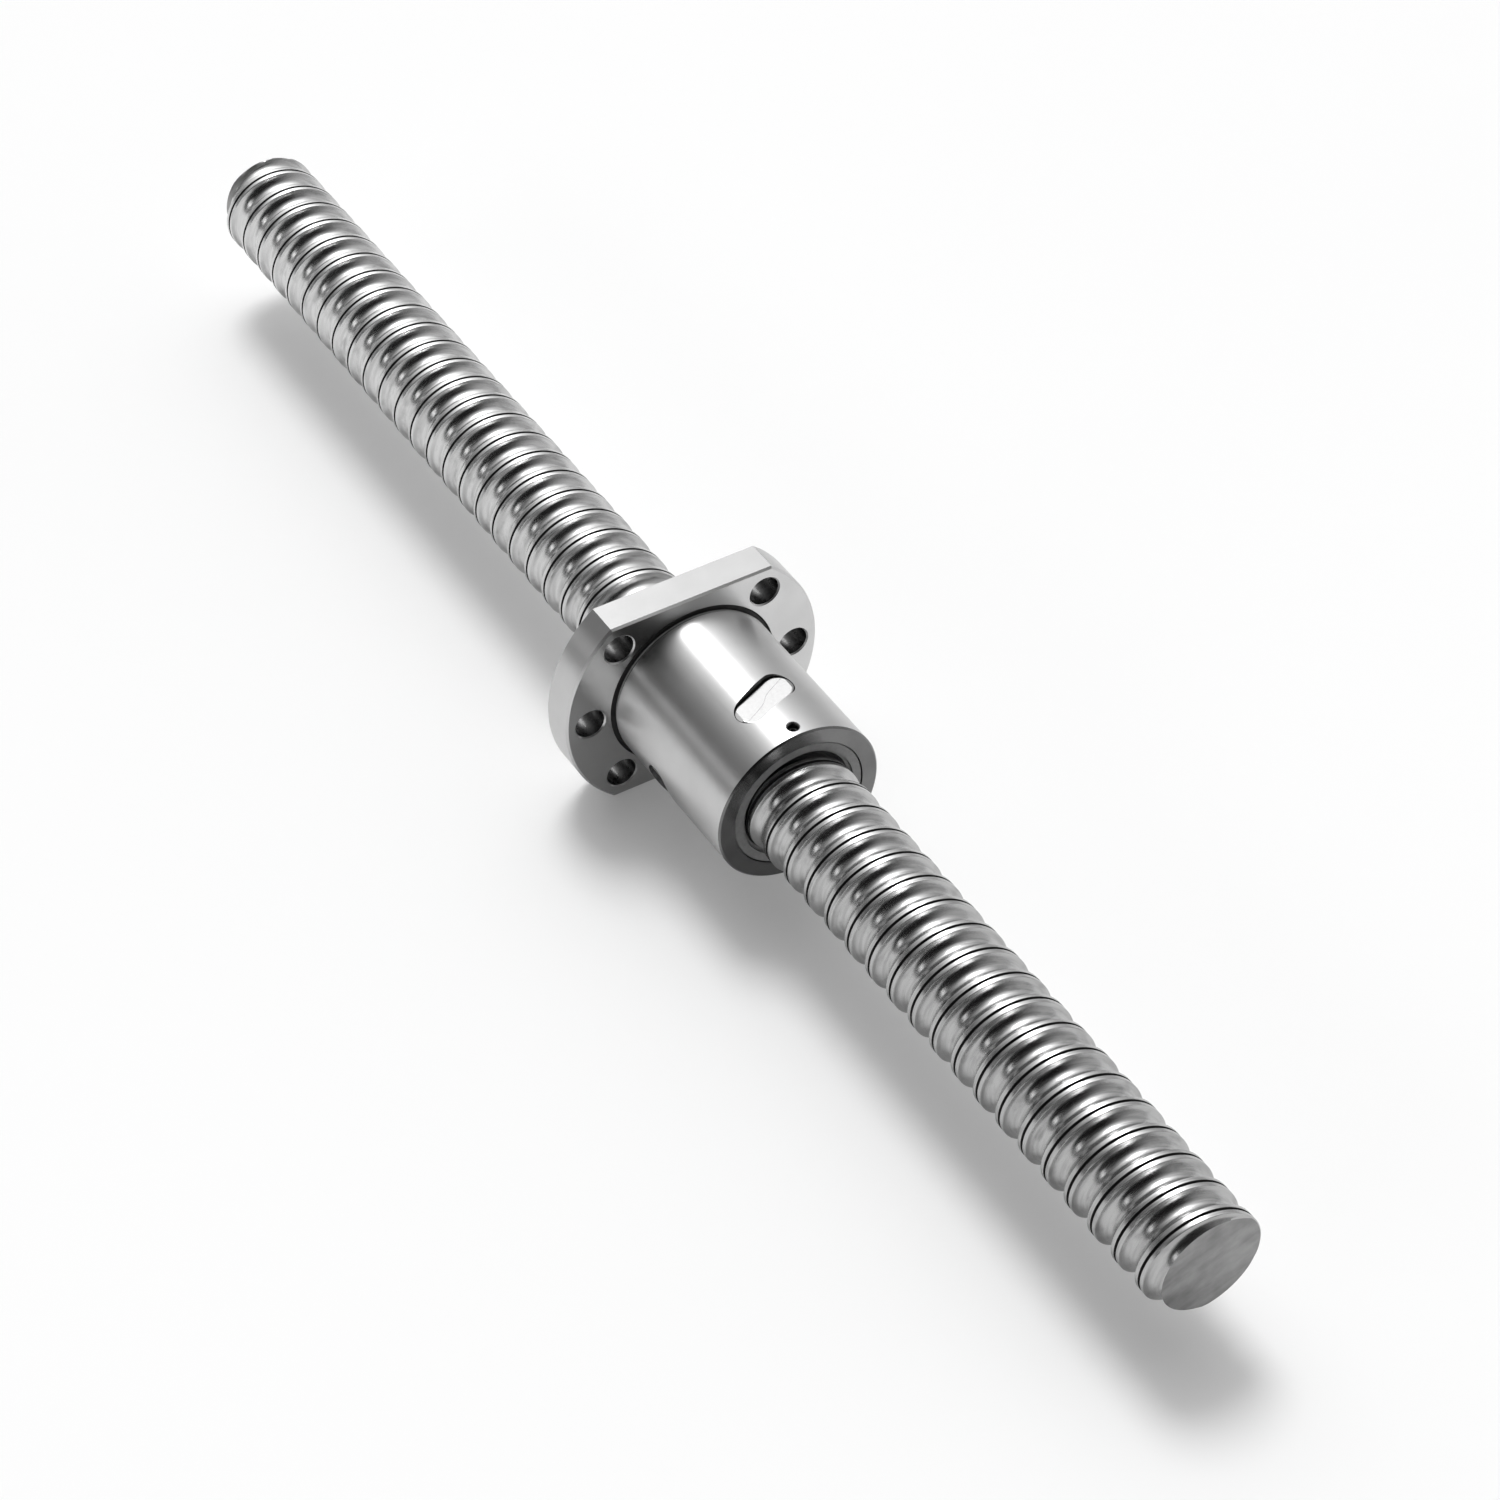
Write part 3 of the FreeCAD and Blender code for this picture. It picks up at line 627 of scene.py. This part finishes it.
def build_nut():
    """The nut, from the solid's own mesh, with a material for each kind of surface."""
    corners, normals = fill_notches(*triangles_of(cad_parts["nut_body"].data))
    places, index = np.unique(np.round(corners.reshape(-1, 3), WELD_DIGITS), axis=0, return_inverse=True)
    index = index.reshape(-1, 3)
    whole = (index != np.roll(index, 1, axis=1)).all(axis=1)
    corners = corners[whole]
    mesh = bpy.data.meshes.new("flanged_nut")
    mesh.from_pydata((places * MM).tolist(), [], index[whole].tolist())
    mesh.shade_smooth()
    mesh.normals_split_custom_set(normals[whole].reshape(-1, 3).tolist())
    for material in (
        ground_steel("ground_steel", dark=0.56, light=0.60, rough=0.35),
        ground_steel("ground_face", dark=0.56, light=0.61, rough=0.17),
        ground_steel("turned_face", dark=0.15, light=0.19, rough=0.22),
        # Painted shade: the bore and the pockets' walls are dark as the shade in them
        plain_metal("bore_painted_shade", dark=0.10, light=0.16, rough=0.35),
        relief_painted_light(),
        # Painted shade: the bolt holes are near black, as the shade inside them
        plain_metal("hole_painted_shade", dark=0.05, light=0.08, rough=0.30),
        ground_steel("milled_flat", dark=0.37, light=0.40, rough=0.24),
    ):
        mesh.materials.append(material)
    kinds = surfaces_of_nut(corners.mean(axis=1), directions(corners))
    mesh.polygons.foreach_set("material_index", kinds)
    nut = in_scene("flanged_nut", mesh)
    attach(nut, "nut")
    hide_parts("nut_body")


def insert_line(number, material):
    """Faint curved ridge on an insert's flat top, over the way of the balls."""
    y = np.linspace(LINE_HALF_LENGTH, -LINE_HALF_LENGTH, LINE_STEPS)
    x = -LINE_SLANT * y - LINE_SWING * np.tanh(y / LINE_TURN)
    middle = np.stack([x, y, np.full_like(y, INSERT_TOP)], axis=1)
    along = np.gradient(middle, axis=0)
    along /= np.linalg.norm(along, axis=1)[:, None]
    across = np.cross(along, (0, 0, 1))
    turn = 2 * math.pi * np.arange(LINE_SIDES) / LINE_SIDES
    ring = np.cos(turn)[:, None, None] * across + np.sin(turn)[:, None, None] * np.array((0, 0, 1))
    points = (middle + LINE_RADIUS * ring).transpose(1, 0, 2).reshape(-1, 3)
    faces = [[s * LINE_SIDES + k, s * LINE_SIDES + (k + 1) % LINE_SIDES,
              (s + 1) * LINE_SIDES + (k + 1) % LINE_SIDES, (s + 1) * LINE_SIDES + k]
             for s in range(LINE_STEPS - 1) for k in range(LINE_SIDES)]
    faces.append(list(range(LINE_SIDES))[::-1])
    faces.append([(LINE_STEPS - 1) * LINE_SIDES + k for k in range(LINE_SIDES)])
    mesh = bpy.data.meshes.new(f"insert_line_{number + 1}")
    mesh.from_pydata((points * MM).tolist(), [], faces)
    turns = number / INSERT_COUNT
    mesh.transform(Matrix.Translation(((FRONT_INSERT_X - LEAD * (number + turns)) * MM, 0, 0))
                   @ Matrix.Rotation(2 * math.pi * turns, 4, "X"))
    mesh.shade_smooth()
    mesh.materials.append(material)
    line = in_scene(mesh.name, mesh)
    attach(line, "nut")


def dress_nodes():
    """Materials of the solids that show as they are, and the inserts' lines."""
    insert = plain_metal("insert_steel", dark=0.315, light=0.33, rough=0.26, spread=0.03)
    looks = {
        "wiper": plain_metal("wiper_grey", dark=0.25, light=0.31, rough=0.45, metallic=0.0),
        "wiper_set_screw": plain_metal("black_steel", dark=0.02, light=0.04, rough=0.4, metallic=0.6),
        "return_insert": insert,
        "ball": plain_metal("ball_steel", dark=0.64, light=0.70, rough=0.08),
    }
    for name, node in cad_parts.items():
        key = max((key for key in looks if name.startswith(key)), key=len, default=None)
        if key:
            for slot in node.material_slots:
                slot.material = looks[key]
    for number in range(INSERT_COUNT):
        insert_line(number, insert)


def build_floor():
    """White paper that keeps the shadow, and is partly white of its own."""
    bpy.ops.mesh.primitive_plane_add(size=FLOOR_SIZE, location=(0, 0, FLOOR_Z * MM))
    floor = bpy.context.object
    floor.name = "floor"
    settings = {"Metallic": 0.0, "Roughness": 1.0, "Specular IOR Level": 0.0}
    material, graph, shader = new_material("floor_paper", settings)
    connect(graph, shader, {"Base Color": graph.grey(graph.noise(graph.place(), PAPER), *PAPER_GREY)})
    seen, mirrored = graph.rays()
    share = graph.math("MULTIPLY_ADD", seen, FLOOR_OWN_WHITE,
                       graph.math("MULTIPLY", mirrored, FLOOR_OWN_WHITE_IN_METAL))
    white = graph.add("ShaderNodeEmission", {"Strength": 1.0}).outputs["Emission"]
    both = graph.add("ShaderNodeMixShader", {0: share, 1: shader.outputs["BSDF"], 2: white})
    output = next(node for node in graph.tree.nodes if node.type == "OUTPUT_MATERIAL")
    graph.tree.links.new(both.outputs["Shader"], output.inputs["Surface"])
    floor.data.materials.append(material)


def build_key():
    """The key light, far away and soft."""
    key = bpy.data.lights.new("key", "SUN")
    key.angle = math.radians(2 * KEY_RADIUS)
    key.energy = math.pi * KEY_BRIGHTNESS * math.sin(math.radians(KEY_RADIUS)) ** 2
    lamp = in_scene("key", key)
    lamp.rotation_euler = Vector(KEY_FROM).to_track_quat("Z", "Y").to_euler()


def build_world():
    """The studio: a glow, walls with two dark stripes at the left, and a long strip of light there."""
    world = bpy.data.worlds.new("studio")
    world.use_nodes = True
    graph = Graph(world.node_tree)
    way = graph.add("ShaderNodeTexCoord").outputs["Generated"]
    x, y, z = graph.parts(way)
    aim = graph.add("ShaderNodeVectorMath", {0: way, 1: Vector(GLOW_FROM).normalized()},
                    operation="DOT_PRODUCT").outputs["Value"]
    glow = graph.math("POWER", graph.math("MAXIMUM", aim, 0.0), GLOW_POWER)
    away = graph.math("MAXIMUM", graph.math("SUBTRACT", BACK_WALL_X, x), 0.0)
    back = graph.math("MULTIPLY_ADD", graph.math("MULTIPLY", away, away), BACK_WALL_RISE, STUDIO_LEAST)
    right = graph.remap(y, *RIGHT_WALL_Y, 0.0, RIGHT_WALL_BRIGHTNESS)
    left = graph.math("MULTIPLY", graph.remap(y, *LEFT_Y, LEFT_DARK, 0.0), graph.remap(x, *LEFT_X, 1.0, 0.0))
    stripes = graph.math("MAXIMUM", graph.band(z, *STRIPE_Z), graph.remap(z, *HORIZON_Z, 1.0, 0.0))
    walls = graph.math("SUBTRACT", graph.math("MAXIMUM", back, right), graph.math("MULTIPLY", stripes, left))
    around = graph.math("ARCTAN2", z, graph.math("MULTIPLY", y, -1.0))
    height = graph.band(around, *(math.radians(angle) for angle in STRIP_ANGLES))
    strip = graph.math("MULTIPLY", height, graph.band(x, *STRIP_X))
    lit = graph.math("MULTIPLY_ADD", strip, STRIP_BRIGHTNESS, walls)
    studio = graph.math("MULTIPLY_ADD", glow, GLOW_BRIGHTNESS, lit)
    seen, mirrored = graph.rays()
    share = graph.math("MULTIPLY_ADD", mirrored, DISTANCE_WHITE_IN_METAL, seen)
    whiter = graph.math("MULTIPLY", share, graph.math("SUBTRACT", DISTANCE_WHITE, studio))
    colour = graph.tone(graph.math("ADD", studio, whiter))
    shade = graph.add("ShaderNodeBackground", {"Color": colour, "Strength": 1.0})
    graph.add("ShaderNodeOutputWorld", {"Surface": shade.outputs["Background"]})
    scene.world = world


def build_camera():
    """The photo's camera."""
    data = bpy.data.cameras.new("camera")
    data.lens = CAMERA_LENS
    data.sensor_width = CAMERA_SENSOR
    data.clip_end = CAMERA_REACH
    camera = in_scene("camera", data)
    axes = Matrix((CAMERA_RIGHT, CAMERA_UP, CAMERA_BACK)).transposed()
    camera.matrix_world = Matrix.Translation(CAMERA_PLACE) @ axes.to_4x4()
    scene.camera = camera
    scene.view_settings.view_transform = "Standard"


build_shaft()
build_nut()
dress_nodes()
build_floor()
build_key()
build_world()
build_camera()
